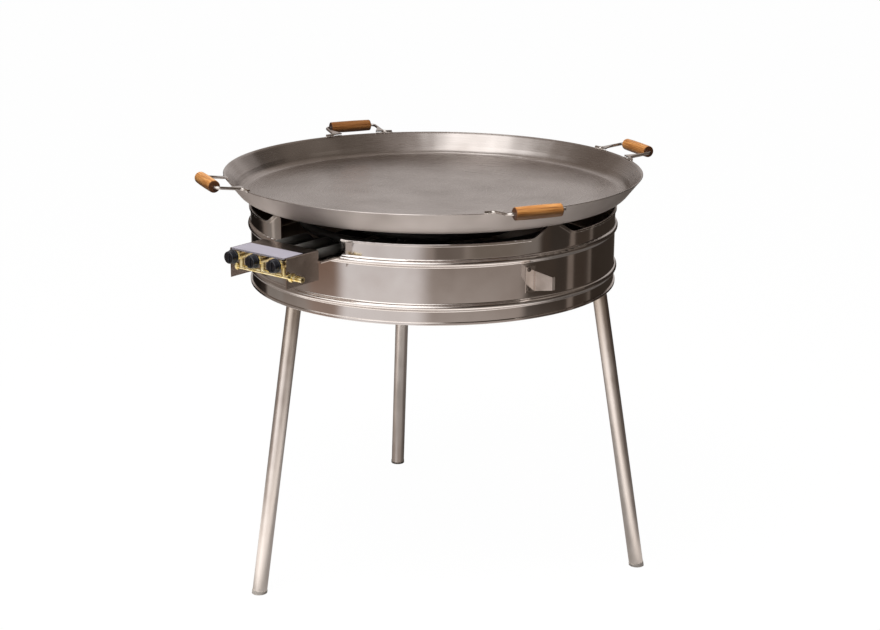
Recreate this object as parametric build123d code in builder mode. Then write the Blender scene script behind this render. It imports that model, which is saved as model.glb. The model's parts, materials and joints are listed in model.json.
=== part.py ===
from build123d import *
import os
from math import atan2, cos, degrees, radians, sin, sqrt, tan

# A wide flared pan on a drum-shaped gas stand with three splayed tube legs.
# The origin is on the floor under the drum's axis, Z is up, and the control unit faces -Y.
# Azimuths are counted from -Y towards +X, and a reach is a distance from the drum's axis.

# Drum wall, in millimetres and degrees like every size below
drum_radius = 419.5
drum_sheet = 1.5
drum_base_height = 654.5
drum_wall_height = 176.1
drum_hem_height = 6.0
drum_hem_rise = 3.0
drum_hem_round = 1.2
bead_half_height = 7.0
bead_rise = 6.0
bead_blend = 3.5
lower_bead_height = 38.0
upper_bead_height = 133.0

# Points of the drum's rim that carry the pan
crown_count = 4
crown_first_azimuth = 76.5
crown_height = 24.0
crown_base = 125.0
crown_top = 16.0
crown_ease = 7.0
crown_round = 20.0

# Pan
pan_seat_margin = 3.5
pan_bend_radius = 32.0
pan_flare = 38.5
pan_depth = 52.3
pan_sheet = 2.5
pan_lip_round = 0.8

# Pan handles
handle_count = 4
handle_first_azimuth = 61.9
handle_tilt = 6.8
handle_reach = 57.9
handle_foot_start = 66.0
handle_foot_end = 88.0
rod_radius = 3.5
rod_bend_radius = 12.0
rod_end_room = 0.5
rod_weld_depth = 0.2
gusset_sheet = 3.0
gusset_start = 46.0
gusset_reach = 32.0
grip_length = 106.0
grip_radius = 14.2
grip_end_radius = 13.6
grip_round = 2.0
grip_clearance = 0.1

# Legs, their sockets in the drum and their end caps
leg_count = 3
leg_first_azimuth = -11.04
leg_splay = 9.54
leg_radius = 16.5
leg_wall = 1.5
leg_clearance = 0.05
socket_wall = 1.75
socket_depth = 60.0
socket_rise = 3.0
socket_stop = 2.0
socket_wall_gap = 0.3
socket_web_width = 24.0
cap_height = 7.0
cap_overhang = 0.7
cap_plug_length = 18.0
cap_clearance = 0.05

# Heat shield that closes the drum under the burner
shield_sheet = 1.5
shield_edge_gap = 2.0

# Folded bracket riveted to the drum's side
bracket_azimuth = 69.5
bracket_sheet = 2.0
bracket_flange_width = 23.0
bracket_flange_height = 58.0
bracket_base_height = 58.5
bracket_reach = 68.0
bracket_root_height = 45.0
bracket_tip_height = 28.0
bracket_top_drop = 11.5
bracket_lip = 5.0
rivet_offset = 15.0
rivet_edge_distance = 7.5
rivet_radius = 2.5
rivet_head_radius = 4.5
rivet_head_height = 2.2
rivet_head_taper = 20.0
rivet_tail_height = 1.5
rivet_clearance = 0.05

# Burner rings, the bars that carry them and the clips under the bars
ring_radius = {"inner": 100.0, "middle": 200.0, "outer": 300.0}
ring_tube_radius = 10.0
ring_wall = 2.0
rail_offset = 85.0
rail_thickness = 4.0
rail_height = 30.0
rail_notch_depth = 3.0
rail_clearance = 0.1
rail_end_gap = 0.5
clip_width = 30.0
clip_sheet = 3.0
clip_ledge = 28.0
clip_leg = 25.0

# Feed tubes from the jets to the rings
feed_side = {"outer": -1, "inner": 0, "middle": 1}
feed_spacing = 60.5
feed_radius = 10.0
feed_wall = 1.5
feed_end_wall = 2.0
feed_bend_radius = 30.0
feed_run = 30.0
feed_end_room = 14.0
feed_mouth_depth = 40.0
riser_radius = 8.0
riser_bore = 6.0
riser_height = 6.0

# Window in the drum and the tongue folded out of it
window_left_margin = 25.3
window_right_margin = 11.0
shelf_reach = 56.5
shelf_edge_radius = 2.75

# Control hood
hood_sheet = 1.5
hood_depth = 98.0
hood_height = 64.0
hood_left_room = 15.0
hood_right_room = 3.0
hood_top_clearance = 1.0
hood_bend_radius = 2.0
plate_height = 44.0
plate_clearance = 0.05
trim_sheet = 0.6
trim_depth = 55.0
trim_margin = 5.0
trim_fold = 3.0

# Gas taps
tap_axis_drop = 26.6
tap_radius = 9.0
tap_length = 25.0
tap_neck_radius = 6.0
tap_neck_length = 16.0
tap_inlet_radius = 6.0
tap_passage = 2.0
tap_end_clearance = 0.3
gland_length = 6.0
gland_across = 15.0
plug_radius = 5.0
plug_length = 17.7
plug_port_setback = 3.0
plug_clearance = 0.05
stem_radius = 3.0
stem_flat = 2.2
stem_clearance = 0.05
stem_socket_depth = 10.0
knob_radius = 15.2
knob_skirt = 4.0
knob_shoulder = 1.0
knob_length = 17.0
knob_taper = 4.0
knob_front_round = 2.0
knob_rib_width = 6.0
knob_rib_rise = 2.0
knob_rib_margin = 4.5
knob_rib_corner = 2.5
knob_round = 1.0
knob_socket_depth = 12.0
knob_travel = 3.0
knob_gap = 0.5
jet_across = 10.0
jet_hex_length = 8.0
jet_nose_radius = 3.0
jet_nose_length = 10.0
jet_bore = 0.8

# Gas manifold, its end plug and the hose nozzle
manifold_setback = 8.0
manifold_drop = 27.0
manifold_radius = 5.0
manifold_wall = 1.25
manifold_overhang = 4.0
manifold_end_room = 1.5
manifold_port = 3.0
manifold_clearance = 0.2
end_plug_across = 14.0
end_plug_length = 6.0
spigot_length = 8.0
spigot_clearance = 0.05
nozzle_across = 17.0
nozzle_hex_length = 8.0
nozzle_radius = 6.5
nozzle_length = 26.0
nozzle_bore = 2.5
nozzle_plain_length = 11.0
nozzle_groove_pitch = 4.0
nozzle_groove_depth = 0.7
nozzle_groove_count = 3

# Heights and reaches that follow from the sizes above
drum_inner = drum_radius - drum_sheet
drum_top = drum_base_height + drum_wall_height
bead_heights = [drum_base_height + lower_bead_height, drum_base_height + upper_bead_height]
crown_azimuths = [crown_first_azimuth + 360 / crown_count * index for index in range(crown_count)]
pan_base = drum_top + crown_height
pan_rim = pan_base + pan_depth
pan_bend_angle = 90 - pan_flare
pan_corner = drum_radius + pan_seat_margin + pan_bend_radius * tan(radians(pan_bend_angle / 2))
pan_rim_radius = pan_corner + pan_depth * tan(radians(pan_flare))
tap_axis = drum_top - tap_axis_drop
shelf_top = tap_axis - feed_radius
hood_rear = drum_radius + shelf_reach
hood_front = hood_rear + hood_depth
hood_top = tap_axis + feed_radius + hood_top_clearance + hood_sheet
hood_left = feed_spacing + tap_radius + hood_left_room + hood_sheet
hood_right = feed_spacing + tap_radius + hood_right_room + hood_sheet
hood_width = hood_left + hood_right
hood_middle = (hood_right - hood_left) / 2
manifold_reach = hood_front - manifold_setback
manifold_axis = tap_axis - manifold_drop
manifold_left = feed_spacing + tap_inlet_radius + manifold_end_room
manifold_right = hood_right + manifold_overhang
plug_rear = manifold_reach - plug_port_setback
plug_front = plug_rear + plug_length
tap_front = plug_front + tap_end_clearance
tap_rear = tap_front - tap_length
neck_rear = tap_rear - tap_neck_length
gland_front = tap_front + gland_length
knob_rear = gland_front + knob_travel + knob_gap
stem_rear = plug_front - stem_socket_depth + knob_travel + knob_gap
stem_front = knob_rear + knob_socket_depth
ring_axis = shelf_top
ring_bottom = ring_axis - ring_tube_radius
rail_top = ring_bottom + rail_notch_depth
rail_bottom = rail_top - rail_height
feed_low_axis = ring_bottom - riser_height - feed_radius
feed_dip_end = ring_radius["outer"] + feed_run
feed_dip_start = feed_dip_end + tap_axis - feed_low_axis
feed_mouth = hood_rear + feed_mouth_depth
feed_x = {name: side * feed_spacing for name, side in feed_side.items()}
feed_end = {name: sqrt(ring_radius[name] ** 2 - feed_x[name] ** 2) for name in feed_x}
window_left = feed_spacing + feed_radius + window_left_margin
window_right = feed_spacing + feed_radius + window_right_margin
socket_radius = leg_radius + leg_clearance + socket_wall
leg_reach = drum_inner - (socket_radius + socket_wall_gap) / cos(radians(leg_splay))
leg_length = (drum_base_height - cap_height) / cos(radians(leg_splay))
leg_seat = socket_rise + socket_depth
socket_height = leg_seat * cos(radians(leg_splay)) + leg_radius * sin(radians(leg_splay)) + socket_stop
shield_base = drum_base_height + socket_height
bracket_base = drum_base_height + bracket_base_height
bracket_top = bracket_base + bracket_flange_height - bracket_top_drop
rivet_heights = [bracket_base + rivet_edge_distance,
                 bracket_base + bracket_flange_height - rivet_edge_distance]

os.makedirs("parts", exist_ok=True)


def save(piece, name):
    """Label a finished piece and write its STEP file."""
    piece.label = name
    export_step(piece, f"parts/{name}.step")


def outward(azimuth):
    """Level unit vector that points away from the drum's axis."""
    return Vector(sin(radians(azimuth)), -cos(radians(azimuth)), 0)


def sideways(azimuth):
    """Level unit vector along the drum's wall, to the right as seen from outside."""
    return Vector(cos(radians(azimuth)), sin(radians(azimuth)), 0)


def radial_plane(azimuth, reach=0.0, height=0.0):
    """Upright plane that faces outwards: X runs along the wall and Y runs up."""
    origin = outward(azimuth) * reach + Vector(0, 0, height)
    return Plane(origin=origin, x_dir=sideways(azimuth), z_dir=outward(azimuth))


def front_plane(reach, x, height):
    """Upright plane before the drum that faces the user: X runs right and Y runs up."""
    return Plane(origin=(x, -reach, height), x_dir=(1, 0, 0), z_dir=(0, -1, 0))


def leg_plane(azimuth, distance):
    """Plane across a leg at a distance above the drum's lower edge, Z up along the leg."""
    axis = Vector(0, 0, cos(radians(leg_splay))) - outward(azimuth) * sin(radians(leg_splay))
    foot = outward(azimuth) * leg_reach + Vector(0, 0, drum_base_height)
    return Plane(origin=foot + axis * distance, x_dir=sideways(azimuth), z_dir=axis)


def bead_arc(face_radius, thickness):
    """Half height and crest radius of one face of a bead, for a sheet of even thickness."""
    curve = (bead_half_height ** 2 + bead_rise ** 2) / (2 * bead_rise)
    centre = drum_radius + bead_rise - curve
    half = sqrt((curve - thickness) ** 2 - (face_radius - centre) ** 2)
    crest = centre + curve - thickness
    return half, crest


def wall_face(face_radius, thickness):
    """Draw one face of the drum's wall from its lower edge to its rim, with both beads."""
    half, crest = bead_arc(face_radius, thickness)
    start = drum_base_height
    for height in bead_heights:
        Line((face_radius, start), (face_radius, height - half))
        ThreePointArc((face_radius, height - half), (crest, height), (face_radius, height + half))
        start = height + half
    Line((face_radius, start), (face_radius, drum_top))


def crown_piece(azimuth, inner_radius, outer_radius, trim):
    """Raised point of the rim between two radii, with eased flanks moved in by the trim."""
    half_base = crown_base / 2
    half_top = crown_top / 2
    foot = drum_top - 2 * drum_hem_height
    with BuildPart() as piece:
        with BuildSketch(radial_plane(azimuth)):
            with BuildLine():
                Polyline((-half_base, drum_top), (-half_base, foot), (half_base, foot), (half_base, drum_top))
                Line((-half_top, pan_base), (half_top, pan_base))
                for side in (-1, 1):
                    FilletPolyline((side * half_base, drum_top), (side * (half_base - crown_ease), drum_top),
                                   (side * (half_top + crown_ease), pan_base), (side * half_top, pan_base),
                                   radius=crown_round)
            make_face()
            if trim > 0:
                offset(amount=-trim, kind=Kind.INTERSECTION, mode=Mode.REPLACE)
        extrude(amount=outer_radius)
        with BuildSketch(Plane.XY.offset(drum_top - drum_hem_height)):
            Circle(outer_radius)
            Circle(inner_radius, mode=Mode.SUBTRACT)
        extrude(amount=crown_height + drum_hem_height, mode=Mode.INTERSECT)
    return piece.part


# Drum shell: beaded wall with hemmed edges, pan points, window and folded tongue with rolled sides
with BuildPart() as drum_shell:
    with BuildSketch(Plane.XZ) as wall_section:
        with BuildLine():
            wall_face(drum_radius, 0)
            wall_face(drum_inner, drum_sheet)
            Line((drum_inner, drum_base_height), (drum_radius, drum_base_height))
            Line((drum_inner, drum_top), (drum_radius, drum_top))
        make_face()
        bead_ends = wall_section.vertices().filter_by(
            lambda v: drum_base_height < v.Y - drum_hem_height and v.Y < drum_top - drum_hem_height)
        fillet(bead_ends.filter_by(lambda v: v.X > drum_radius - drum_sheet / 2), bead_blend)
        fillet(bead_ends.filter_by(lambda v: v.X < drum_radius - drum_sheet / 2), bead_blend + drum_sheet)
        hem_middle = drum_radius + drum_hem_rise / 2
        with Locations((hem_middle, drum_base_height + drum_hem_height / 2),
                       (hem_middle, drum_top - drum_hem_height / 2)):
            Rectangle(drum_hem_rise, drum_hem_height)
        hem_corners = wall_section.vertices().filter_by(
            lambda v: abs(v.X - drum_radius - drum_hem_rise) < drum_hem_round)
        fillet(hem_corners.filter_by(
            lambda v: v.Y < drum_base_height + 2 * drum_hem_height or v.Y > drum_top - 2 * drum_hem_height),
            drum_hem_round)
    revolve(axis=Axis.Z)
    for azimuth in crown_azimuths:
        add(crown_piece(azimuth, drum_inner, drum_radius + drum_hem_rise, 0))
        add(crown_piece(azimuth, drum_radius, drum_radius + 2 * drum_hem_rise, drum_hem_height),
            mode=Mode.SUBTRACT)
    with BuildSketch(Plane.XZ):
        with Locations(((window_right - window_left) / 2, shelf_top)):
            Rectangle(window_left + window_right, tap_axis_drop + feed_radius + 2 * crown_height,
                      align=(Align.CENTER, Align.MIN))
    extrude(amount=drum_radius + 2 * drum_hem_rise, mode=Mode.SUBTRACT)
    with BuildSketch(Plane.XY.offset(shelf_top - drum_sheet)):
        with Locations(((window_right - window_left) / 2, -hood_rear)):
            Rectangle(window_left + window_right, hood_rear, align=(Align.CENTER, Align.MIN))
        Circle(drum_inner, mode=Mode.SUBTRACT)
    extrude(amount=drum_sheet)
    for edge_x in (shelf_edge_radius - window_left, window_right - shelf_edge_radius):
        edge_start = sqrt(drum_radius ** 2 - edge_x ** 2) - drum_sheet / 2
        with BuildSketch(front_plane(edge_start, edge_x, shelf_top - shelf_edge_radius)):
            Circle(shelf_edge_radius)
        extrude(amount=hood_rear - edge_start)
    for height in rivet_heights:
        with BuildSketch(radial_plane(bracket_azimuth, drum_inner - drum_sheet, height)):
            with Locations((-rivet_offset, 0)):
                Circle(rivet_radius + rivet_clearance)
        extrude(amount=3 * drum_sheet, mode=Mode.SUBTRACT)
save(drum_shell.part, "drum_shell")

# Side bracket: riveted flange, standing plate and folded outer lip
with BuildPart() as side_bracket:
    with BuildSketch(radial_plane(bracket_azimuth, drum_radius + bracket_sheet, bracket_base)):
        with Locations((bracket_sheet / 2, 0)):
            Rectangle(bracket_flange_width, bracket_flange_height, align=(Align.MAX, Align.MIN))
        for height in rivet_heights:
            with Locations((-rivet_offset, height - bracket_base)):
                Circle(rivet_radius + rivet_clearance, mode=Mode.SUBTRACT)
    extrude(amount=-2 * bracket_sheet)
    plate_plane = Plane(origin=(0, 0, 0), x_dir=outward(bracket_azimuth), z_dir=-sideways(bracket_azimuth))
    with BuildSketch(plate_plane):
        with BuildLine():
            Polyline((drum_inner, bracket_top - bracket_root_height),
                     (drum_radius + bracket_reach, bracket_top - bracket_tip_height),
                     (drum_radius + bracket_reach, bracket_top), (drum_inner, bracket_top), close=True)
        make_face()
    extrude(amount=bracket_sheet / 2, both=True)
    with BuildSketch(radial_plane(bracket_azimuth, drum_radius + bracket_reach, bracket_top)):
        with Locations((-bracket_sheet / 2, 0)):
            Rectangle(bracket_lip + bracket_sheet, bracket_tip_height, align=(Align.MIN, Align.MAX))
    extrude(amount=-bracket_sheet)
    with BuildSketch(Plane.XY.offset(drum_base_height)):
        Circle(drum_radius)
    extrude(amount=drum_wall_height, mode=Mode.SUBTRACT)
save(side_bracket.part, "side_bracket")

# Bracket rivets: domed heads outside, shanks through both sheets and tails inside
with BuildPart() as bracket_rivets:
    for height in rivet_heights:
        head_seat = drum_radius + bracket_sheet
        with BuildSketch(radial_plane(bracket_azimuth, head_seat, height)):
            with Locations((-rivet_offset, 0)):
                Circle(rivet_head_radius)
        extrude(amount=rivet_head_height, taper=rivet_head_taper)
        with BuildSketch(radial_plane(bracket_azimuth, drum_inner - rivet_tail_height, height)):
            with Locations((-rivet_offset, 0)):
                Circle(rivet_radius)
        extrude(amount=head_seat - drum_inner + rivet_tail_height)
save(bracket_rivets.part, "bracket_rivets")

# Legs: socket, tube and end cap at each corner of the tripod
for index in range(leg_count):
    azimuth = leg_first_azimuth + 360 / leg_count * index
    with BuildPart() as leg_socket:
        with BuildSketch(leg_plane(azimuth, socket_rise)):
            Circle(socket_radius)
            Rectangle(socket_web_width, 2 * socket_radius, align=(Align.CENTER, Align.MAX))
        extrude(amount=socket_depth + 2 * socket_radius)
        with BuildSketch(leg_plane(azimuth, socket_rise)):
            Circle(leg_radius + leg_clearance)
        extrude(amount=socket_depth, mode=Mode.SUBTRACT)
        with BuildSketch(Plane.XY.offset(drum_base_height)):
            Circle(drum_inner)
        extrude(amount=socket_height, mode=Mode.INTERSECT)
    save(leg_socket.part, f"leg_socket_{index + 1}")

    with BuildPart() as leg_tube:
        with BuildSketch(leg_plane(azimuth, -leg_length)):
            Circle(leg_radius)
            Circle(leg_radius - leg_wall, mode=Mode.SUBTRACT)
        extrude(amount=leg_length + leg_seat)
    save(leg_tube.part, f"leg_tube_{index + 1}")

    with BuildPart() as leg_cap:
        with BuildSketch(leg_plane(azimuth, -leg_length)):
            Circle(leg_radius + cap_overhang)
        extrude(amount=-2 * cap_height)
        with BuildSketch(leg_plane(azimuth, -leg_length)):
            Circle(leg_radius - leg_wall - cap_clearance)
        extrude(amount=cap_plug_length)
        with BuildSketch(Plane.XY):
            Circle(leg_reach + drum_base_height)
        extrude(amount=-3 * cap_height, mode=Mode.SUBTRACT)
    save(leg_cap.part, f"leg_cap_{index + 1}")

# Heat shield: round sheet that lies on the leg sockets
with BuildPart() as heat_shield:
    with BuildSketch(Plane.XY.offset(shield_base)):
        Circle(drum_inner - shield_edge_gap)
    extrude(amount=shield_sheet)
save(heat_shield.part, "heat_shield")

# Burner rails: flat bars across the drum, notched for the rings
for side, name in ((-1, "left"), (1, "right")):
    with BuildPart() as burner_rail:
        with BuildSketch(Plane.XY.offset(rail_bottom)):
            with Locations((side * rail_offset, 0)):
                Rectangle(rail_thickness, 2 * drum_inner)
        extrude(amount=rail_height)
        with BuildSketch(Plane.XY.offset(rail_bottom)):
            Circle(drum_inner - rail_end_gap)
        extrude(amount=rail_height, mode=Mode.INTERSECT)
        with BuildSketch(Plane.XZ):
            for radius in ring_radius.values():
                with Locations((radius, ring_axis)):
                    Circle(ring_tube_radius + rail_clearance)
        revolve(axis=Axis.Z, mode=Mode.SUBTRACT)
    save(burner_rail.part, f"burner_rail_{name}")

# Rail clips: angle brackets on the drum's wall under the four rail ends
rail_end = sqrt(drum_inner ** 2 - rail_offset ** 2)
with BuildPart() as rail_clips:
    for x in (-rail_offset, rail_offset):
        for y in (-rail_end, rail_end):
            with BuildSketch(radial_plane(degrees(atan2(x, -y)), drum_radius, rail_bottom)):
                Rectangle(clip_width, clip_leg, align=(Align.CENTER, Align.MAX))
            extrude(amount=-drum_sheet - clip_sheet)
            with BuildSketch(radial_plane(degrees(atan2(x, -y)), drum_radius, rail_bottom)):
                Rectangle(clip_width, clip_sheet, align=(Align.CENTER, Align.MAX))
            extrude(amount=-drum_sheet - clip_ledge)
    with BuildSketch(Plane.XY.offset(drum_base_height)):
        Circle(drum_inner)
    extrude(amount=drum_wall_height, mode=Mode.INTERSECT)
save(rail_clips.part, "rail_clips")

# Burner rings and their feed tubes
for name, radius in ring_radius.items():
    joint_point = (feed_x[name], -feed_end[name])
    with BuildPart() as burner_ring:
        with BuildSketch(Plane.XZ):
            with Locations((radius, ring_axis)):
                Circle(ring_tube_radius)
                Circle(ring_tube_radius - ring_wall, mode=Mode.SUBTRACT)
        revolve(axis=Axis.Z)
        with BuildSketch(Plane.XY.offset(ring_bottom)):
            with Locations(joint_point):
                Circle(riser_bore)
        extrude(amount=ring_tube_radius, mode=Mode.SUBTRACT)
    save(burner_ring.part, f"burner_ring_{name}")

    with BuildPart() as feed_tube:
        with BuildLine(Plane.YZ.offset(feed_x[name])) as route:
            FilletPolyline((-feed_mouth, tap_axis), (-feed_dip_start, tap_axis),
                           (-feed_dip_end, feed_low_axis),
                           (-feed_end[name] + feed_end_room, feed_low_axis), radius=feed_bend_radius)
        with BuildSketch(Plane(origin=route.wire() @ 0, z_dir=route.wire() % 0)):
            Circle(feed_radius)
            Circle(feed_radius - feed_wall, mode=Mode.SUBTRACT)
        sweep(path=route.wire())
        with BuildSketch(Plane(origin=route.wire() @ 1, z_dir=route.wire() % 1)):
            Circle(feed_radius)
        extrude(amount=feed_end_wall)
        with BuildSketch(Plane.XY.offset(feed_low_axis + feed_radius - feed_wall)):
            with Locations(joint_point):
                Circle(riser_radius)
        extrude(amount=ring_axis - feed_low_axis - feed_radius + feed_wall)
        with BuildSketch(Plane.XY.offset(feed_low_axis)):
            with Locations(joint_point):
                Circle(riser_bore)
        extrude(amount=ring_axis - feed_low_axis, mode=Mode.SUBTRACT)
        with BuildSketch(Plane.XZ):
            with Locations((radius, ring_axis)):
                Circle(ring_tube_radius)
        revolve(axis=Axis.Z, mode=Mode.SUBTRACT)
    save(feed_tube.part, f"feed_tube_{name}")


def stem_section(clearance):
    """Round section with one flat, so that the stem turns what it fits in."""
    Circle(stem_radius + clearance)
    with Locations((0, stem_flat + clearance)):
        Rectangle(4 * stem_radius, 2 * stem_radius, align=(Align.CENTER, Align.MIN), mode=Mode.SUBTRACT)


# Gas taps: body with its passages, gland nut, plug, stem, knob and jet
for index, x in enumerate((-feed_spacing, 0, feed_spacing), start=1):
    with BuildPart() as tap_body:
        with BuildSketch(front_plane(tap_rear, x, tap_axis)):
            Circle(tap_radius)
        extrude(amount=tap_length)
        with BuildSketch(front_plane(neck_rear, x, tap_axis)):
            Circle(tap_neck_radius)
        extrude(amount=tap_neck_length)
        with BuildSketch(Plane.XY.offset(manifold_axis)):
            with Locations((x, -manifold_reach)):
                Circle(tap_inlet_radius)
        extrude(amount=manifold_drop)
        with BuildSketch(front_plane(plug_rear - tap_end_clearance, x, tap_axis)):
            Circle(plug_radius + plug_clearance)
        extrude(amount=plug_length + 2 * tap_end_clearance, mode=Mode.SUBTRACT)
        with BuildSketch(front_plane(neck_rear, x, tap_axis)):
            Circle(tap_passage)
        extrude(amount=plug_rear - neck_rear, mode=Mode.SUBTRACT)
        with BuildSketch(Plane.XY.offset(manifold_axis)):
            with Locations((x, -manifold_reach)):
                Circle(manifold_port)
        extrude(amount=manifold_drop, mode=Mode.SUBTRACT)
        with BuildSketch(Plane.YZ):
            with Locations((-manifold_reach, manifold_axis)):
                Circle(manifold_radius)
        extrude(amount=hood_width, both=True, mode=Mode.SUBTRACT)
    save(tap_body.part, f"tap_body_{index}")

    with BuildPart() as tap_gland:
        with BuildSketch(front_plane(tap_front, x, tap_axis)):
            RegularPolygon(gland_across / 2, 6, major_radius=False)
            Circle(stem_radius + stem_clearance, mode=Mode.SUBTRACT)
        extrude(amount=gland_length)
    save(tap_gland.part, f"tap_gland_{index}")

    with BuildPart() as tap_plug:
        with BuildSketch(front_plane(plug_rear, x, tap_axis)):
            Circle(plug_radius)
        extrude(amount=plug_length)
        with BuildSketch(front_plane(plug_front - stem_socket_depth, x, tap_axis)):
            stem_section(stem_clearance)
        extrude(amount=stem_socket_depth, mode=Mode.SUBTRACT)
        with BuildSketch(Plane.YZ.offset(x)):
            with Locations((-manifold_reach, tap_axis)):
                Circle(tap_passage)
        extrude(amount=2 * plug_radius, mode=Mode.SUBTRACT)
        with BuildSketch(front_plane(plug_rear, x, tap_axis)):
            Circle(tap_passage)
        extrude(amount=plug_port_setback, mode=Mode.SUBTRACT)
    save(tap_plug.part, f"tap_plug_{index}")

    with BuildPart() as tap_stem:
        with BuildSketch(front_plane(stem_rear, x, tap_axis)):
            stem_section(0)
        extrude(amount=stem_front - stem_rear)
        with BuildSketch(front_plane(plug_front + knob_travel + knob_gap, x, tap_axis)):
            Circle(stem_radius)
        extrude(amount=knob_rear - plug_front - knob_travel - knob_gap)
    save(tap_stem.part, f"tap_stem_{index}")

    with BuildPart() as knob:
        with BuildSketch(front_plane(knob_rear, x, tap_axis)):
            Circle(knob_radius)
        extrude(amount=knob_skirt)
        fillet(knob.faces().sort_by(Axis.Y)[0].edges(), knob_round)
        with BuildSketch(front_plane(knob_rear, x, tap_axis)):
            Circle(knob_radius - knob_shoulder)
        extrude(amount=knob_length - knob_rib_rise, taper=knob_taper)
        fillet(knob.faces().sort_by(Axis.Y)[0].edges(), knob_front_round)
        with BuildSketch(front_plane(knob_rear, x, tap_axis)) as rib_section:
            Rectangle(knob_rib_width, 2 * (knob_radius - knob_rib_margin))
            fillet(rib_section.vertices(), knob_rib_corner)
        extrude(amount=knob_length)
        fillet(knob.faces().sort_by(Axis.Y)[0].edges(), knob_round)
        with BuildSketch(front_plane(knob_rear, x, tap_axis)):
            stem_section(stem_clearance)
        extrude(amount=knob_socket_depth, mode=Mode.SUBTRACT)
    save(knob.part, f"knob_{index}")

    with BuildPart() as jet:
        with BuildSketch(front_plane(neck_rear, x, tap_axis)):
            RegularPolygon(jet_across / 2, 6, major_radius=False)
        extrude(amount=-jet_hex_length)
        with BuildSketch(front_plane(neck_rear - jet_hex_length, x, tap_axis)):
            Circle(jet_nose_radius)
        extrude(amount=-jet_nose_length)
        with BuildSketch(front_plane(neck_rear, x, tap_axis)):
            Circle(jet_bore)
        extrude(amount=-jet_hex_length - jet_nose_length, mode=Mode.SUBTRACT)
    save(jet.part, f"jet_{index}")

# Manifold pipe with a port under each tap
with BuildPart() as manifold_pipe:
    with BuildSketch(Plane.YZ.offset(-manifold_left)):
        with Locations((-manifold_reach, manifold_axis)):
            Circle(manifold_radius)
            Circle(manifold_radius - manifold_wall, mode=Mode.SUBTRACT)
    extrude(amount=manifold_left + manifold_right)
    with BuildSketch(Plane.XY.offset(manifold_axis)):
        with Locations(*[(feed_x[name], -manifold_reach) for name in feed_x]):
            Circle(manifold_port)
    extrude(amount=2 * manifold_radius, mode=Mode.SUBTRACT)
save(manifold_pipe.part, "manifold_pipe")


def pipe_fitting(start, across, hex_length):
    """Hexagon against a manifold end, with a spigot in the pipe; lengths are signed along X."""
    with BuildPart() as fitting:
        with BuildSketch(Plane.YZ.offset(start)):
            with Locations((-manifold_reach, manifold_axis)):
                RegularPolygon(across / 2, 6, major_radius=False)
        extrude(amount=hex_length)
        with BuildSketch(Plane.YZ.offset(start)):
            with Locations((-manifold_reach, manifold_axis)):
                Circle(manifold_radius - manifold_wall - spigot_clearance)
        extrude(amount=-spigot_length if hex_length > 0 else spigot_length)
    return fitting.part


# End plug on the manifold's left end
with BuildPart() as manifold_plug:
    add(pipe_fitting(-manifold_left, end_plug_across, -end_plug_length))
save(manifold_plug.part, "manifold_plug")

# Hose nozzle on the manifold's right end, grooved to hold a hose
with BuildPart() as hose_nozzle:
    add(pipe_fitting(manifold_right, nozzle_across, nozzle_hex_length))
    nozzle_start = manifold_right + nozzle_hex_length
    with BuildSketch(Plane.YZ.offset(nozzle_start)):
        with Locations((-manifold_reach, manifold_axis)):
            Circle(nozzle_radius)
    extrude(amount=nozzle_length)
    for groove in range(nozzle_groove_count):
        groove_start = nozzle_start + nozzle_plain_length + groove * nozzle_groove_pitch
        with BuildSketch(Plane.YZ.offset(groove_start)):
            with Locations((-manifold_reach, manifold_axis)):
                Circle(2 * nozzle_radius)
                Circle(nozzle_radius - nozzle_groove_depth, mode=Mode.SUBTRACT)
        extrude(amount=nozzle_groove_pitch / 2, mode=Mode.SUBTRACT)
    with BuildSketch(Plane.YZ.offset(manifold_right - spigot_length)):
        with Locations((-manifold_reach, manifold_axis)):
            Circle(nozzle_bore)
    extrude(amount=spigot_length + nozzle_hex_length + nozzle_length, mode=Mode.SUBTRACT)
save(hose_nozzle.part, "hose_nozzle")

# Control hood: top and two sides in one bent sheet, slotted on the right for the manifold
with BuildPart() as control_hood:
    with BuildSketch(front_plane(hood_rear, hood_middle, hood_top)):
        Rectangle(hood_width, hood_height, align=(Align.CENTER, Align.MAX))
        with Locations((0, -hood_sheet)):
            Rectangle(hood_width - 2 * hood_sheet, hood_height,
                      align=(Align.CENTER, Align.MAX), mode=Mode.SUBTRACT)
    extrude(amount=hood_depth)
    fillet(control_hood.edges().filter_by(Axis.Y).group_by(Axis.Z)[-1], hood_bend_radius)
    slot_half_height = manifold_radius + manifold_clearance
    with BuildSketch(Plane.YZ):
        with Locations((-manifold_reach, manifold_axis)):
            Circle(slot_half_height)
            Rectangle(2 * manifold_setback, 2 * slot_half_height, align=(Align.MAX, Align.CENTER))
    extrude(amount=2 * hood_right, mode=Mode.SUBTRACT)
save(control_hood.part, "control_hood")

# Hood plate: thin bright sheet on the front of the hood's top, folded over its edge
with BuildPart() as hood_plate:
    with BuildSketch(Plane.YZ.offset(trim_margin - hood_left)):
        with BuildLine():
            Polyline((trim_depth - hood_front, hood_top), (-hood_front, hood_top),
                     (-hood_front, hood_top - trim_fold), (-hood_front - trim_sheet, hood_top - trim_fold),
                     (-hood_front - trim_sheet, hood_top + trim_sheet),
                     (trim_depth - hood_front, hood_top + trim_sheet), close=True)
        make_face()
    extrude(amount=hood_width - 2 * trim_margin)
save(hood_plate.part, "hood_plate")

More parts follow.
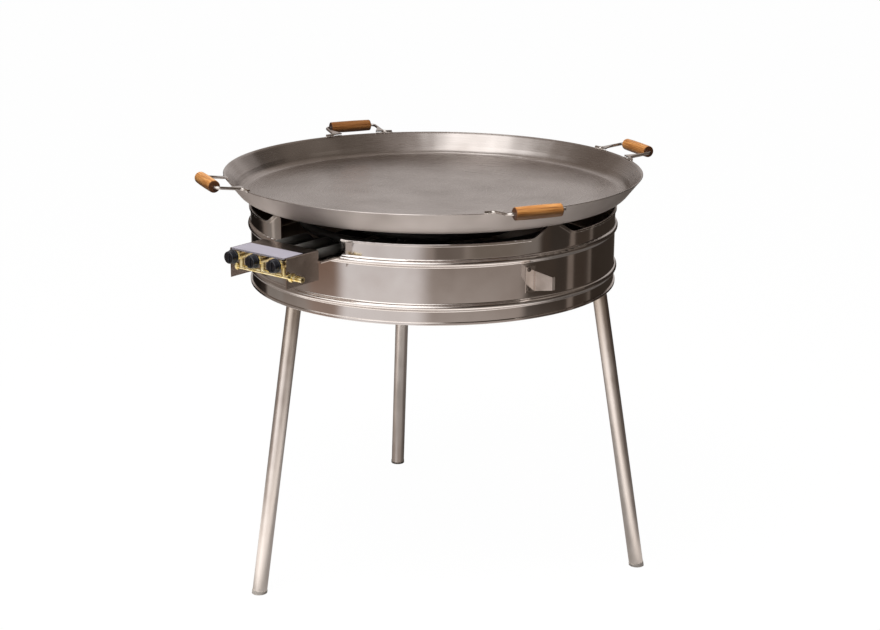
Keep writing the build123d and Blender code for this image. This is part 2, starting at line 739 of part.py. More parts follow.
# Burner plate: closes the hood's back and holds the feed tubes
with BuildPart() as burner_plate:
    with BuildSketch(front_plane(hood_rear, 0, tap_axis)):
        with Locations((hood_middle, feed_radius + hood_top_clearance)):
            Rectangle(hood_width - 2 * hood_sheet, plate_height, align=(Align.CENTER, Align.MAX))
        with Locations((-feed_spacing, 0), (0, 0), (feed_spacing, 0)):
            Circle(feed_radius + plate_clearance, mode=Mode.SUBTRACT)
    extrude(amount=hood_sheet)
save(burner_plate.part, "burner_plate")

# Pan: flat floor, rounded corner and flared wall in one sheet
with BuildPart() as pan_envelope:
    with BuildSketch(Plane.XZ):
        with BuildLine():
            FilletPolyline((0, pan_base), (pan_corner, pan_base), (pan_rim_radius, pan_rim),
                           radius=pan_bend_radius)
            Polyline((pan_rim_radius, pan_rim), (0, pan_rim), (0, pan_base))
        make_face()
    revolve(axis=Axis.Z)

with BuildPart() as pan_body:
    lip_inner = pan_rim_radius - pan_sheet / cos(radians(pan_flare))
    inner_corner = pan_corner - pan_sheet * tan(radians(pan_bend_angle / 2))
    with BuildSketch(Plane.XZ) as pan_section:
        with BuildLine():
            FilletPolyline((0, pan_base), (pan_corner, pan_base), (pan_rim_radius, pan_rim),
                           radius=pan_bend_radius)
            Line((pan_rim_radius, pan_rim), (lip_inner, pan_rim))
            FilletPolyline((lip_inner, pan_rim), (inner_corner, pan_base + pan_sheet),
                           (0, pan_base + pan_sheet), radius=pan_bend_radius - pan_sheet)
            Line((0, pan_base + pan_sheet), (0, pan_base))
        make_face()
        fillet(pan_section.vertices().group_by(Axis.Y)[-1], pan_lip_round)
    revolve(axis=Axis.Z)
save(pan_body.part, "pan_body")


def handle_plane(azimuth, distance):
    """Plane of one handle, at a distance up its slope from the lip: X along the lip, Y up the slope."""
    slope = outward(azimuth) * cos(radians(handle_tilt)) + Vector(0, 0, sin(radians(handle_tilt)))
    lip_top = outward(azimuth) * lip_middle + Vector(0, 0, pan_rim + rod_radius - rod_weld_depth)
    return Plane(origin=lip_top + slope * distance, x_dir=sideways(azimuth),
                 z_dir=sideways(azimuth).cross(slope))


def foot_setback(offset_along):
    """How far down the slope the rod lies to follow the round lip at a distance along it."""
    return (lip_middle - sqrt(lip_middle ** 2 - offset_along ** 2)) / cos(radians(handle_tilt))


# Handles: bent rod and two gussets welded on the pan's lip, with a wooden grip that turns on the rod
grip_half = grip_length / 2
lip_middle = (pan_rim_radius + lip_inner) / 2
lip_half_width = (pan_rim_radius - lip_inner) / 2
rod_half_span = grip_half + rod_end_room + rod_bend_radius
for index in range(handle_count):
    azimuth = handle_first_azimuth + 360 / handle_count * index
    with BuildPart() as handle_rod:
        with BuildLine(handle_plane(azimuth, 0)) as rod_route:
            FilletPolyline((-handle_foot_end, -foot_setback(handle_foot_end)),
                           (-handle_foot_start, -foot_setback(handle_foot_start)),
                           (-rod_half_span, handle_reach), (rod_half_span, handle_reach),
                           (handle_foot_start, -foot_setback(handle_foot_start)),
                           (handle_foot_end, -foot_setback(handle_foot_end)), radius=rod_bend_radius)
        with BuildSketch(Plane(origin=rod_route.wire() @ 0, z_dir=rod_route.wire() % 0)):
            Circle(rod_radius)
        sweep(path=rod_route.wire())
        with BuildSketch(handle_plane(azimuth, 0).offset(rod_weld_depth - rod_radius)):
            for side in (-1, 1):
                with BuildLine():
                    Polyline((side * gusset_start, -foot_setback(gusset_start) - lip_half_width),
                             (side * rod_half_span, -foot_setback(rod_half_span) - lip_half_width),
                             (side * rod_half_span, gusset_reach), close=True)
                make_face()
        extrude(amount=gusset_sheet)
        add(pan_envelope.part, mode=Mode.SUBTRACT)
    save(handle_rod.part, f"handle_rod_{index + 1}")

    with BuildPart() as handle_grip:
        grip_plane = handle_plane(azimuth, handle_reach)
        grip_bore = rod_radius + grip_clearance
        with BuildSketch(grip_plane) as grip_section:
            with BuildLine():
                ThreePointArc((-grip_half, grip_end_radius), (0, grip_radius), (grip_half, grip_end_radius))
                Polyline((grip_half, grip_end_radius), (grip_half, grip_bore), (-grip_half, grip_bore),
                         (-grip_half, grip_end_radius))
            make_face()
            fillet(grip_section.vertices().filter_by(lambda v: v.Y > 2 * rod_radius), grip_round)
        revolve(axis=Axis(grip_plane.origin, grip_plane.x_dir))
    save(handle_grip.part, f"handle_grip_{index + 1}")
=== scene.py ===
import json
import math

import bmesh
import bpy
from mathutils import Matrix, Vector


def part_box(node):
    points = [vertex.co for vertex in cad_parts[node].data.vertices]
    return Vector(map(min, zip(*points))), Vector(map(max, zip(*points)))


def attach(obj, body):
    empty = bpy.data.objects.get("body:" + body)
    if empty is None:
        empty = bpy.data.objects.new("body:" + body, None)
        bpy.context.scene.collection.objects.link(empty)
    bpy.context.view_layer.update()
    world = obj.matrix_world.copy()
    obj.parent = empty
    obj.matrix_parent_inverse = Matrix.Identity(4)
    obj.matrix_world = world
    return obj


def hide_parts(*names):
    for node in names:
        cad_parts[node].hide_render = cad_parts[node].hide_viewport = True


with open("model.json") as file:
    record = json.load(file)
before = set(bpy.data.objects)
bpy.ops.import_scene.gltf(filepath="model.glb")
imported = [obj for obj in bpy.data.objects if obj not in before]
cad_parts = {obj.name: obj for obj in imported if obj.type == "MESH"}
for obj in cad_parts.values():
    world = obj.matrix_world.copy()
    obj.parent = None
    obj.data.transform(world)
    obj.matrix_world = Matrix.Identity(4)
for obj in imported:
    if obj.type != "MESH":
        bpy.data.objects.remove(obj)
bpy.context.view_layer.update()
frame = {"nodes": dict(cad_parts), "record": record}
nodes = frame["nodes"]
mm = 0.001  # sizes below are in millimetres, the scene is in metres
mergeWithin = 1e-6  # metres, closer points of a made piece become one
sharpAngle = 40  # degrees, edges of a made piece that turn more stay crisp
print("frame loaded,", len(nodes), "nodes")


# Small helpers
def linear(hexColour):
    # sRGB hex value to linear colour
    channels = [int(hexColour[i:i + 2], 16) / 255 for i in (1, 3, 5)]
    return [c / 12.92 if c <= 0.04045 else ((c + 0.055) / 1.055) ** 2.4 for c in channels] + [1.0]


def feed(tree, node, inputs):
    # each input takes a link or a plain value
    for name, value in inputs.items():
        if isinstance(value, bpy.types.NodeSocket):
            tree.links.new(value, node.inputs[name])
        else:
            node.inputs[name].default_value = value


def addNode(tree, kind, inputs=None, stops=(), **settings):
    node = tree.nodes.new(kind)
    for name, value in settings.items():
        setattr(node, name, value)
    feed(tree, node, inputs or {})
    if stops:  # the places and colours of a colour ramp
        elements = node.color_ramp.elements
        while len(elements) < len(stops):
            elements.new(0.5)  # moved to its own place below
        for element, (place, hexColour) in zip(elements, stops):
            element.position = place
            element.color = linear(hexColour)
    return node


def newMaterial(name):
    material = bpy.data.materials.new(name)
    material.use_nodes = True
    tree = material.node_tree
    place = addNode(tree, "ShaderNodeTexCoord").outputs["Object"]
    return material, tree, tree.nodes["Principled BSDF"], place


def outward(azimuth):
    return Vector((math.sin(math.radians(azimuth)), -math.cos(math.radians(azimuth)), 0))


def sideways(azimuth):
    return Vector((math.cos(math.radians(azimuth)), math.sin(math.radians(azimuth)), 0))


def addObject(name, data):
    made = bpy.data.objects.new(name, data)
    bpy.context.scene.collection.objects.link(made)
    return made


def settle(piece, body, replaced=()):
    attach(piece, body)
    if replaced:
        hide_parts(*replaced)
    return piece


def makePiece(name, verts, faces, material, body, replaced=()):
    mesh = bpy.data.meshes.new(name)
    mesh.from_pydata([tuple(v) for v in verts], [], faces)
    shell = bmesh.new()
    shell.from_mesh(mesh)
    bmesh.ops.remove_doubles(shell, verts=shell.verts, dist=mergeWithin)
    bmesh.ops.recalc_face_normals(shell, faces=shell.faces)
    shell.to_mesh(mesh)
    shell.free()
    mesh.polygons.foreach_set("use_smooth", [True] * len(mesh.polygons))
    mesh.set_sharp_from_angle(angle=math.radians(sharpAngle))
    mesh.materials.append(material)
    return settle(addObject(name, mesh), body, replaced)


def lathe(profile, segments, closed=True):
    # profile points are (radius, height) in millimetres, turned about Z
    verts, faces = [], []
    count = len(profile)
    for step in range(segments):
        angle = 2 * math.pi * step / segments
        verts += [(r * mm * math.cos(angle), r * mm * math.sin(angle), z * mm) for r, z in profile]
    for step in range(segments):
        here, there = step * count, (step + 1) % segments * count
        for i in range(count if closed else count - 1):
            j = (i + 1) % count
            firstOnAxis, nextOnAxis = profile[i][0] == 0, profile[j][0] == 0
            if firstOnAxis and nextOnAxis:
                continue
            if firstOnAxis:
                faces.append([here + i, there + j, here + j])
            elif nextOnAxis:
                faces.append([here + i, there + i, here + j])
            else:
                faces.append([here + i, there + i, there + j, here + j])
    return verts, faces


# Camera, at the photograph's place and lens
cameraSetup = {
    "azimuth": 38.5,  # round the stand from its control side, degrees
    "distance": 4.0311, "height": 1.714,  # metres
    "pitch": 16.01, "yaw": 0.248, "roll": 0.315,  # degrees
    "focalPixels": 1786.1, "imageWidth": 880, "sensorWidth": 36.0,
}


def makeCamera(setup):
    data = bpy.data.cameras.new("photoCamera")
    data.sensor_width = setup["sensorWidth"]
    data.lens = setup["focalPixels"] / setup["imageWidth"] * setup["sensorWidth"]
    camera = addObject("photoCamera", data)
    pitch, yaw, roll = (math.radians(setup[key]) for key in ("pitch", "yaw", "roll"))
    forward = Vector((math.sin(yaw) * math.cos(pitch), math.cos(yaw) * math.cos(pitch), -math.sin(pitch)))
    level = Vector((math.cos(yaw), -math.sin(yaw), 0))
    upright = level.cross(forward)
    right = level * math.cos(roll) + upright * math.sin(roll)
    up = upright * math.cos(roll) - level * math.sin(roll)
    turn = Matrix.Rotation(math.radians(setup["azimuth"]), 3, "Z")
    axes = turn @ Matrix((right, up, -forward)).transposed()
    place = turn @ Vector((0, -setup["distance"], setup["height"]))
    camera.matrix_world = Matrix.Translation(place) @ axes.to_4x4()
    bpy.context.scene.camera = camera


makeCamera(cameraSetup)
bpy.context.scene.view_settings.view_transform = "Standard"
print("camera set")

# Materials. Sizes in their dictionaries are in mm, and rough pairs are the roughness at both ends of a noise
noiseLow, noiseHigh = 0.3, 0.7  # nearly all of a noise lies between these
turnedRadius = 420  # mm, about the radius of the drum and of the pan's bend


def aboutAxis(tree, place):
    # height, distance from the drum's axis and level direction away from it
    height = addNode(tree, "ShaderNodeSeparateXYZ", {"Vector": place}).outputs["Z"]
    level = addNode(tree, "ShaderNodeVectorMath", {0: place, 1: (1, 1, 0)}, operation="MULTIPLY").outputs[0]
    radius = addNode(tree, "ShaderNodeVectorMath", {0: level}, operation="LENGTH").outputs["Value"]
    away = addNode(tree, "ShaderNodeVectorMath", {0: level}, operation="NORMALIZE").outputs[0]
    return height, radius, away


def streaks(tree, axisParts, along, across, detail=3.0):
    # noise drawn out round the drum's axis: along is the length of a streak, across its width
    height, radius, away = axisParts
    around = addNode(tree, "ShaderNodeVectorMath", {0: away, "Scale": turnedRadius / along},
                     operation="SCALE")
    rise = addNode(tree, "ShaderNodeMath", {0: radius, 1: height}, operation="ADD")
    fine = addNode(tree, "ShaderNodeMath", {0: rise.outputs[0], 1: 1 / (across * mm)}, operation="MULTIPLY")
    lift = addNode(tree, "ShaderNodeCombineXYZ", {"Z": fine.outputs[0]})
    spot = addNode(tree, "ShaderNodeVectorMath", {0: around.outputs[0], 1: lift.outputs[0]}, operation="ADD")
    noise = addNode(tree, "ShaderNodeTexNoise", {"Vector": spot.outputs[0], "Scale": 1.0, "Detail": detail})
    return noise.outputs["Fac"]


def mottled(tree, tinting, tints, dulling, rough, places=(noiseLow, noiseHigh)):
    # one pattern varies the colour and one the gloss, often the same
    tint = addNode(tree, "ShaderNodeValToRGB", {"Fac": tinting}, list(zip(places, tints)))
    gloss = addNode(tree, "ShaderNodeMapRange", {
        "Value": dulling, "From Min": noiseLow, "From Max": noiseHigh,
        "To Min": rough[0], "To Max": rough[1]})
    return tint.outputs["Color"], gloss.outputs["Result"]


drumSheet = {
    "grainLength": 60, "grainWidth": 0.8, "grainDepth": 0.1,  # rolling lines, coarser than real so they show
    "patch": 70, "wave": 110, "waveDepth": 2,
    "tints": ("#C8C0BB", "#D4CECA"), "brownTint": "#B0A498",
    "rough": (0.06, 0.11), "flameDull": 0.38, "beadDull": 0.1,
    "insideFrom": -0.2, "insideFull": -0.6,  # how far a face is turned towards the axis
    "beadMiddle": 740, "beadAway": 47.5, "beadEdge": 11, "beadCrown": 8,  # two beads about a middle height
    "drawFrom": 798, "drawTo": 855, "drawIn": 4,  # heights where the top edge leans in, and by how much
}


def rolledStainless(look):
    # cold rolled stainless sheet: near mirror, with a faint round-the-drum grain and slow waves in the sheet
    material, tree, shader, place = newMaterial("rolledStainless")
    axisParts = aboutAxis(tree, place)
    height, _, away = axisParts
    grain = streaks(tree, axisParts, look["grainLength"], look["grainWidth"])
    patch = addNode(tree, "ShaderNodeTexNoise", {
        "Vector": place, "Scale": 1 / (look["patch"] * mm), "Detail": 2.0})
    tint, polish = mottled(tree, patch.outputs["Fac"], look["tints"], grain, look["rough"])
    normal = addNode(tree, "ShaderNodeNewGeometry").outputs["Normal"]
    facing = addNode(tree, "ShaderNodeVectorMath", {0: normal, 1: away}, operation="DOT_PRODUCT")
    inside = addNode(tree, "ShaderNodeMapRange", {
        "Value": facing.outputs["Value"], "From Min": look["insideFrom"],
        "From Max": look["insideFull"]}).outputs["Result"]
    heated = addNode(tree, "ShaderNodeMix", {  # browned round the flames
        "Factor": inside, "A": tint, "B": linear(look["brownTint"])}, data_type="RGBA")
    dulled = addNode(tree, "ShaderNodeMath", {0: inside, 1: look["flameDull"], 2: polish},
                     operation="MULTIPLY_ADD")
    fromMiddle = addNode(tree, "ShaderNodeMath", {0: height, 1: look["beadMiddle"] * mm},
                         operation="SUBTRACT")
    up = addNode(tree, "ShaderNodeMath", {0: fromMiddle.outputs[0]}, operation="ABSOLUTE")
    fromBead = addNode(tree, "ShaderNodeMath", {0: up.outputs[0], 1: look["beadAway"] * mm},
                       operation="SUBTRACT")
    off = addNode(tree, "ShaderNodeMath", {0: fromBead.outputs[0]}, operation="ABSOLUTE")
    rolled = addNode(tree, "ShaderNodeMapRange", {  # the beading wheels scuff the polish
        "Value": off.outputs[0], "From Min": look["beadEdge"] * mm, "From Max": look["beadCrown"] * mm,
        "To Max": look["beadDull"]})
    rough = addNode(tree, "ShaderNodeMath", {0: dulled.outputs[0], 1: rolled.outputs["Result"]},
                    operation="ADD")
    swell = addNode(tree, "ShaderNodeTexNoise", {
        "Vector": place, "Scale": 1 / (look["wave"] * mm), "Detail": 1.0})
    wave = addNode(tree, "ShaderNodeBump", {
        "Height": swell.outputs["Fac"], "Strength": 0.08, "Distance": look["waveDepth"] * mm})
    line = addNode(tree, "ShaderNodeBump", {
        "Height": grain, "Strength": 0.03, "Distance": look["grainDepth"] * mm, "Normal": wave.outputs[0]})
    drawnIn = addNode(tree, "ShaderNodeMapRange", {  # the rolling draws the top edge in by a few degrees
        "Value": height, "From Min": look["drawFrom"] * mm, "From Max": look["drawTo"] * mm,
        "To Max": -look["drawIn"] * mm})
    lean = addNode(tree, "ShaderNodeBump", {
        "Height": drawnIn.outputs["Result"], "Strength": 1.0, "Distance": 1.0, "Normal": line.outputs[0]})
    feed(tree, shader, {"Base Color": heated.outputs["Result"], "Roughness": rough.outputs[0],
                        "Normal": lean.outputs[0], "Metallic": 1.0})
    return material


panSheet = {
    "grainLength": 90, "grainWidth": 1.2, "grainDepth": 0.1,  # brush lines, coarser than real so they show
    "patch": 130, "wave": 160, "waveDepth": 3,
    "fluteLength": 85, "fluteRise": 500, "fluteDepth": 6, "wallFrom": 430, "wallTo": 452,
    "tints": ("#ABA39E", "#C7C0BC"), "rough": (0.24, 0.32), "outsideDull": 0.3,
}


def spunSteel(look):
    # spun and brushed pan steel: soft gleam drawn into rings, warm grey with slow patches
    material, tree, shader, place = newMaterial("spunSteel")
    axisParts = aboutAxis(tree, place)
    grain = streaks(tree, axisParts, look["grainLength"], look["grainWidth"], detail=4.0)
    patch = addNode(tree, "ShaderNodeTexNoise", {
        "Vector": place, "Scale": 1 / (look["patch"] * mm), "Detail": 2.0})
    tint, polish = mottled(tree, patch.outputs["Fac"], look["tints"], grain, look["rough"])
    outside = addNode(tree, "ShaderNodeAttribute", attribute_name="outside").outputs["Fac"]
    blunt = addNode(tree, "ShaderNodeMath", {0: outside, 1: look["outsideDull"], 2: polish},
                    operation="MULTIPLY_ADD")  # the outside isn't polished as finely
    _, radius, _ = axisParts
    wall = addNode(tree, "ShaderNodeMapRange", {  # only the flared wall is fluted
        "Value": radius, "From Min": look["wallFrom"] * mm, "From Max": look["wallTo"] * mm})
    bands = addNode(tree, "ShaderNodeMath", {
        0: streaks(tree, axisParts, look["fluteLength"], look["fluteRise"], detail=1.0),
        1: wall.outputs["Result"]}, operation="MULTIPLY")
    flute = addNode(tree, "ShaderNodeBump", {
        "Height": bands.outputs[0], "Strength": 0.7, "Distance": look["fluteDepth"] * mm})
    swell = addNode(tree, "ShaderNodeTexNoise", {
        "Vector": place, "Scale": 1 / (look["wave"] * mm), "Detail": 1.0})
    wave = addNode(tree, "ShaderNodeBump", {
        "Height": swell.outputs["Fac"], "Strength": 0.3, "Distance": look["waveDepth"] * mm,
        "Normal": flute.outputs[0]})
    line = addNode(tree, "ShaderNodeBump", {
        "Height": grain, "Strength": 0.02, "Distance": look["grainDepth"] * mm, "Normal": wave.outputs[0]})
    feed(tree, shader, {"Base Color": tint, "Roughness": blunt.outputs[0], "Normal": line.outputs[0],
                        "Metallic": 1.0})
    return material


satin = {
    "line": 1.5, "lineDepth": 0.1,  # polishing lines, coarser than real so they show
    "roughSpread": 0.05,
    "kinds": {  # dark and light tint, roughness, size of the handling marks
        "satinHoodSteel": ("#B3A8A0", "#C9C0B9", 0.2, 40),
        "drawnRod": ("#B9B2AC", "#D2CCC7", 0.26, 12),
        "heatTintedSheet": ("#7E7269", "#A2978C", 0.5, 90),
        "weldMetal": ("#B5ACA4", "#E6E0DA", 0.28, 4),
    },
}


def satinSteel(name, look):
    # satin stainless: fine polishing lines that widen highlights, with faint handling marks
    material, tree, shader, place = newMaterial(name)
    dark, light, rough, size = look["kinds"][name]
    marks = addNode(tree, "ShaderNodeTexNoise", {
        "Vector": place, "Scale": 1 / (size * mm), "Detail": 4.0}).outputs["Fac"]
    ends = (rough - look["roughSpread"], rough + look["roughSpread"])
    tint, polish = mottled(tree, marks, (dark, light), marks, ends)
    lines = addNode(tree, "ShaderNodeTexNoise", {
        "Vector": place, "Scale": 1 / (look["line"] * mm), "Detail": 2.0})
    line = addNode(tree, "ShaderNodeBump", {
        "Height": lines.outputs["Fac"], "Strength": 0.08, "Distance": look["lineDepth"] * mm})
    feed(tree, shader, {"Base Color": tint, "Roughness": polish, "Normal": line.outputs[0], "Metallic": 1.0})
    return material


bracketSheet = {
    "scuff": 30, "tints": ("#CFC6BF", "#E2DAD4"), "scuffDull": 0.08,
    "flangeTo": 423, "flangeRough": 0.1, "plateFrom": 427, "plateRough": 0.4,  # distances from the axis
}


def foldedSheet(look):
    # folded stainless: the flange keeps the drum's polish, the standing plate is scuffed to a satin
    material, tree, shader, place = newMaterial("foldedSheet")
    level = addNode(tree, "ShaderNodeVectorMath", {0: place, 1: (1, 1, 0)}, operation="MULTIPLY")
    radius = addNode(tree, "ShaderNodeVectorMath", {0: level.outputs[0]}, operation="LENGTH")
    standing = addNode(tree, "ShaderNodeMapRange", {
        "Value": radius.outputs["Value"], "From Min": look["flangeTo"] * mm,
        "From Max": look["plateFrom"] * mm, "To Min": look["flangeRough"], "To Max": look["plateRough"]})
    scuff = addNode(tree, "ShaderNodeTexNoise", {
        "Vector": place, "Scale": 1 / (look["scuff"] * mm), "Detail": 4.0}).outputs["Fac"]
    tint = addNode(tree, "ShaderNodeValToRGB", {"Fac": scuff},
                   list(zip((noiseLow, noiseHigh), look["tints"])))
    rough = addNode(tree, "ShaderNodeMath", {0: scuff, 1: look["scuffDull"], 2: standing.outputs["Result"]},
                    operation="MULTIPLY_ADD")
    feed(tree, shader, {"Base Color": tint.outputs["Color"], "Roughness": rough.outputs[0], "Metallic": 1.0})
    return material


legTube = {
    "marks": 60, "tints": ("#D2C9C2", "#E2DAD4"), "rough": (0.3, 0.4),
    "line": 1.5, "lineDepth": 0.1,  # polishing lines, coarser than real so they show
    # painted shade: the tube is darker towards its top, fading in between these heights
    "shadeFromHeight": 480, "shadeFullHeight": 640, "shadedTint": "#C4B8AC",  # heights
}


def satinTube(look):
    # satin stainless tube: fine polishing lines, and faint painted shade that darkens it towards the top,
    # under the drum and pan
    material, tree, shader, place = newMaterial("satinTube")
    marks = addNode(tree, "ShaderNodeTexNoise", {
        "Vector": place, "Scale": 1 / (look["marks"] * mm), "Detail": 4.0}).outputs["Fac"]
    tint, polish = mottled(tree, marks, look["tints"], marks, look["rough"])
    height = addNode(tree, "ShaderNodeSeparateXYZ", {"Vector": place}).outputs["Z"]
    # painted shade: darker towards the top of the tube, where the drum and pan shade it
    paintedShade = addNode(tree, "ShaderNodeMapRange", {
        "Value": height, "From Min": look["shadeFromHeight"] * mm, "From Max": look["shadeFullHeight"] * mm})
    shadedTint = addNode(tree, "ShaderNodeMix", {
        "Factor": paintedShade.outputs["Result"], "A": tint, "B": linear(look["shadedTint"])}, data_type="RGBA")
    lines = addNode(tree, "ShaderNodeTexNoise", {
        "Vector": place, "Scale": 1 / (look["line"] * mm), "Detail": 2.0})
    line = addNode(tree, "ShaderNodeBump", {
        "Height": lines.outputs["Fac"], "Strength": 0.08, "Distance": look["lineDepth"] * mm})
    feed(tree, shader, {"Base Color": shadedTint.outputs["Result"], "Roughness": polish,
                        "Normal": line.outputs[0], "Metallic": 1.0})
    return material


trimSheet = {
    "lineLength": 250 / 3, "lineWidth": 10 / 7,  # rolling lines, coarser than real so they show
    "tints": ("#8B8790", "#A09CA6"), "rough": (0.32, 0.44),
}


def paleTrimSheen(look):
    # pale aluminium trim, mostly diffuse: its pale lilac colour is partly its own pale finish and partly
    # painted reflection of the bright sky, with faint long rolling lines
    material, tree, shader, place = newMaterial("paleTrimSheen")
    length, width = 1 / (look["lineLength"] * mm), 1 / (look["lineWidth"] * mm)
    drawn = addNode(tree, "ShaderNodeVectorMath", {0: place, 1: (length, width, width)}, operation="MULTIPLY")
    line = addNode(tree, "ShaderNodeTexNoise", {
        "Vector": drawn.outputs[0], "Scale": 1.0, "Detail": 3.0}).outputs["Fac"]
    # painted reflection: the pale lilac tint, lit diffusely, takes the place of the sky's reflection
    tint, polish = mottled(tree, line, look["tints"], line, look["rough"])
    feed(tree, shader, {"Base Color": tint, "Roughness": polish, "Metallic": 0.15})
    return material


rivetHead = {"pit": 2, "pitDepth": 0.2, "tints": ("#4A433E", "#7C736C"), "rough": (0.35, 0.5)}


def rivetSteel(look):
    # set rivet heads: dull steel, browned by heat, darker where the hammer left pits
    material, tree, shader, place = newMaterial("rivetSteel")
    pits = addNode(tree, "ShaderNodeTexNoise", {
        "Vector": place, "Scale": 1 / (look["pit"] * mm), "Detail": 4.0}).outputs["Fac"]
    tint, polish = mottled(tree, pits, look["tints"], pits, look["rough"])
    dent = addNode(tree, "ShaderNodeBump", {
        "Height": pits, "Strength": 0.2, "Distance": look["pitDepth"] * mm})
    feed(tree, shader, {"Base Color": tint, "Roughness": polish, "Normal": dent.outputs[0], "Metallic": 1.0})
    return material


brassStock = {"patch": 9, "tints": ("#DAC178", "#FDF1C6"), "rough": (0.22, 0.36)}


def turnedBrass(look):
    # machined brass: yellow metal with a soft gleam and slightly browned patches
    material, tree, shader, place = newMaterial("turnedBrass")
    patch = addNode(tree, "ShaderNodeTexNoise", {
        "Vector": place, "Scale": 1 / (look["patch"] * mm), "Detail": 4.0}).outputs["Fac"]
    tint, polish = mottled(tree, patch, look["tints"], patch, look["rough"])
    feed(tree, shader, {"Base Color": tint, "Roughness": polish, "Metallic": 1.0})
    return material


burnerPaint = {
    "soot": 25, "grit": 1.2, "gritDepth": 0.2, "tints": ("#373634", "#4A4845"), "rough": (0.5, 0.75),
}


def blackStovePaint(look):
    # heat-proof black paint on steel: dull, slightly grainy, greyed by soot
    material, tree, shader, place = newMaterial("blackStovePaint")
    soot = addNode(tree, "ShaderNodeTexNoise", {
        "Vector": place, "Scale": 1 / (look["soot"] * mm), "Detail": 5.0}).outputs["Fac"]
    tint, polish = mottled(tree, soot, look["tints"], soot, look["rough"])
    grains = addNode(tree, "ShaderNodeTexNoise", {
        "Vector": place, "Scale": 1 / (look["grit"] * mm), "Detail": 2.0})
    grit = addNode(tree, "ShaderNodeBump", {
        "Height": grains.outputs["Fac"], "Strength": 0.25, "Distance": look["gritDepth"] * mm})
    feed(tree, shader, {"Base Color": tint, "Roughness": polish, "Normal": grit.outputs[0]})
    return material


knobMould = {"dust": 6, "tints": ("#101116", "#1C1E25"), "places": (0.35, 0.8), "rough": (0.16, 0.28)}


def glossyAbs(look):
    # black moulded ABS: deep black with a clean gloss and a trace of dust in its roughness
    material, tree, shader, place = newMaterial("glossyAbs")
    dust = addNode(tree, "ShaderNodeTexNoise", {
        "Vector": place, "Scale": 1 / (look["dust"] * mm), "Detail": 5.0}).outputs["Fac"]
    tint, polish = mottled(tree, dust, look["tints"], dust, look["rough"], look["places"])
    feed(tree, shader, {"Base Color": tint, "Roughness": polish})
    return material


capMould = {"grain": 3, "tints": ("#CBC2BA", "#DCD4CC"), "rough": (0.45, 0.6)}


def palePolythene(look):
    # pale moulded polythene end caps: matte, with a faint moulded grain
    material, tree, shader, place = newMaterial("palePolythene")
    grain = addNode(tree, "ShaderNodeTexNoise", {
        "Vector": place, "Scale": 1 / (look["grain"] * mm), "Detail": 4.0}).outputs["Fac"]
    tint, polish = mottled(tree, grain, look["tints"], grain, look["rough"])
    feed(tree, shader, {"Base Color": tint, "Roughness": polish})
    return material


gripTimber = {
    "fibreLength": 500 / 7, "fibreWidth": 100 / 33, "poreDepth": 0.4,  # the grain's streaks
    "endFrom": 51.2, "endTo": 53,  # from the grip's middle
    "tints": ("#5E3716", "#A06835", "#BA834A", "#D2A46C"), "places": (0.28, 0.45, 0.6, 0.78),
    # the ends' dark brown: part end grain, part painted shade
    "brownTint": "#4A2A14", "rough": (0.5, 0.34),
}


def oiledTeak(look):
    # oiled hardwood: caramel with dark streaks along the grip, and ends darkened partly as end grain and
    # partly as painted shade
    material, tree, shader, _ = newMaterial("oiledTeak")
    place = addNode(tree, "ShaderNodeAttribute", attribute_name="grain").outputs["Vector"]
    length, width = 1 / (look["fibreLength"] * mm), 1 / (look["fibreWidth"] * mm)
    drawn = addNode(tree, "ShaderNodeVectorMath", {0: place, 1: (length, width, width)}, operation="MULTIPLY")
    fibre = addNode(tree, "ShaderNodeTexNoise", {
        "Vector": drawn.outputs[0], "Scale": 1.0, "Detail": 6.0, "Roughness": 0.6,
        "Distortion": 0.6}).outputs["Fac"]
    tint, polish = mottled(tree, fibre, look["tints"], fibre, look["rough"], look["places"])
    along = addNode(tree, "ShaderNodeSeparateXYZ", {"Vector": place}).outputs["X"]
    far = addNode(tree, "ShaderNodeMath", {0: along}, operation="ABSOLUTE")
    # the ends darken: part end grain, part painted shade on the end faces
    ends = addNode(tree, "ShaderNodeMapRange", {
        "Value": far.outputs[0], "From Min": look["endFrom"] * mm, "From Max": look["endTo"] * mm})
    brownTint = addNode(tree, "ShaderNodeMix", {
        "Factor": ends.outputs["Result"], "A": tint, "B": linear(look["brownTint"])}, data_type="RGBA")
    # each grip's own colour, which on the back grip is mostly painted shade
    toneAndShade = addNode(tree, "ShaderNodeAttribute", attribute_name="toneAndShade").outputs["Color"]
    toned = addNode(tree, "ShaderNodeMix", {"Factor": 1.0, "A": brownTint.outputs["Result"], "B": toneAndShade},
                    data_type="RGBA", blend_type="MULTIPLY")
    pores = addNode(tree, "ShaderNodeBump", {
        "Height": fibre, "Strength": 0.25, "Distance": look["poreDepth"] * mm})
    feed(tree, shader, {"Base Color": toned.outputs["Result"], "Roughness": polish,
                        "Normal": pores.outputs[0]})
    return material


panSteel = spunSteel(panSheet)
shieldSteel = satinSteel("heatTintedSheet", satin)
weldSteel = satinSteel("weldMetal", satin)
stovePaint = blackStovePaint(burnerPaint)
gripWood = oiledTeak(gripTimber)
finishes = {
    "stainless_sheet": rolledStainless(drumSheet), "hood_steel": satinSteel("satinHoodSteel", satin),
    "trim_metal": paleTrimSheen(trimSheet), "bracket_steel": foldedSheet(bracketSheet),
    "pan_steel": panSteel, "rod_steel": satinSteel("drawnRod", satin), "grip_wood": gripWood,
    "leg_steel": satinTube(legTube), "cap_plastic": palePolythene(capMould), "burner_steel": stovePaint,
    "brass": turnedBrass(brassStock), "fastener_steel": rivetSteel(rivetHead),
    "knob_plastic": glossyAbs(knobMould),
}
for part in frame["record"]["subparts"]:
    mesh = nodes[part["node"]].data
    mesh.materials.clear()
    mesh.materials.append(shieldSteel if part["node"] == "heat_shield" else finishes[part["material_slot"]])
print("materials made")

